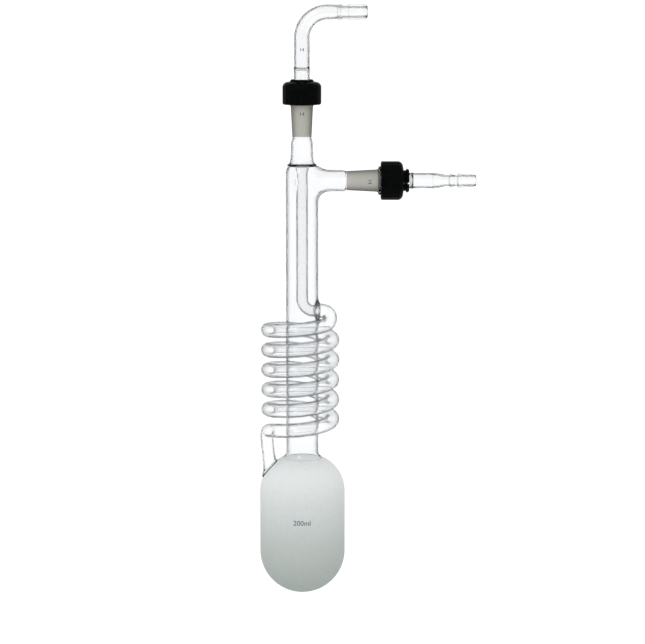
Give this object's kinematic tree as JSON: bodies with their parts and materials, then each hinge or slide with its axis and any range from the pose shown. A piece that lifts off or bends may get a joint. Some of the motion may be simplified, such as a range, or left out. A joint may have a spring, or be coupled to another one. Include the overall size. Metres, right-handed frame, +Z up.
{
  "type": "cold trap",
  "caption": "Coil-type glass cold trap: frosted round-bottom receiver, riser with an inner tube, spiral condensing coil, and screw-clamped taper joints with hose connectors.",
  "frame": {"origin": "on the riser's axis, in the middle of the plain length that a stand's clamp grips", "axes": "+Z up along the riser, +X along the side arm, -Y towards the viewer"},
  "size_m": [0.1506, 0.06, 0.4143],
  "materials": {
    "clear_glass": "clear borosilicate",
    "frosted_glass": "sandblasted",
    "ground_glass": "ground",
    "black_plastic": "satin moulded"
  },
  "bodies": {
    "trap": {"receiver_bulb": "frosted_glass", "riser_tube": "clear_glass", "riser_head": "clear_glass", "side_arm": "clear_glass", "head_ring_seal": "clear_glass", "down_tube": "clear_glass", "wall_ring_seal": "clear_glass", "coil_inlet_bend": "clear_glass", "cooling_coil": "clear_glass", "coil_return_leg": "clear_glass", "top_socket_tail": "clear_glass", "top_ground_socket": "ground_glass", "side_socket_tail": "clear_glass", "side_ground_socket": "ground_glass"},
    "top_collar": {"top_split_collar": "black_plastic"},
    "top_cap": {"top_screw_cap": "black_plastic"},
    "top_connector": {"top_ground_cone": "ground_glass", "top_bent_tube": "clear_glass", "top_hose_nipple": "clear_glass"},
    "side_collar": {"side_split_collar": "black_plastic"},
    "side_cap": {"side_screw_cap": "black_plastic"},
    "side_connector": {"side_ground_cone": "ground_glass", "side_tube": "clear_glass", "side_hose_nipple": "clear_glass"}
  },
  "joints": [
    {"name": "top_jack", "type": "slide", "parent": "trap", "child": "top_collar", "axis": [0, 0, 1], "range_m": [0, 0.0075]},
    {"name": "top_cap_turn", "type": "hinge", "parent": "top_collar", "child": "top_cap", "pos_m": [0, 0, 0.11], "axis": [0, 0, 1], "range_deg": [0, 900]},
    {"name": "top_swivel", "type": "hinge", "parent": "top_collar", "child": "top_connector", "pos_m": [0, 0, 0.11], "axis": [0, 0, 1], "continuous": true},
    {"name": "side_jack", "type": "slide", "parent": "trap", "child": "side_collar", "axis": [1, 0, 0], "range_m": [-0.0015, 0.006]},
    {"name": "side_cap_turn", "type": "hinge", "parent": "side_collar", "child": "side_cap", "pos_m": [0.062, 0, 0.0496], "axis": [1, 0, 0], "range_deg": [-180, 720]},
    {"name": "side_swivel", "type": "hinge", "parent": "side_collar", "child": "side_connector", "pos_m": [0.062, 0, 0.0496], "axis": [1, 0, 0], "continuous": true}
  ],
  "couplings": [
    {"joint": "top_jack", "follows": "top_cap_turn", "m_per_rad": 0.00047746},
    {"joint": "side_jack", "follows": "side_cap_turn", "m_per_rad": 0.00047746}
  ]
}
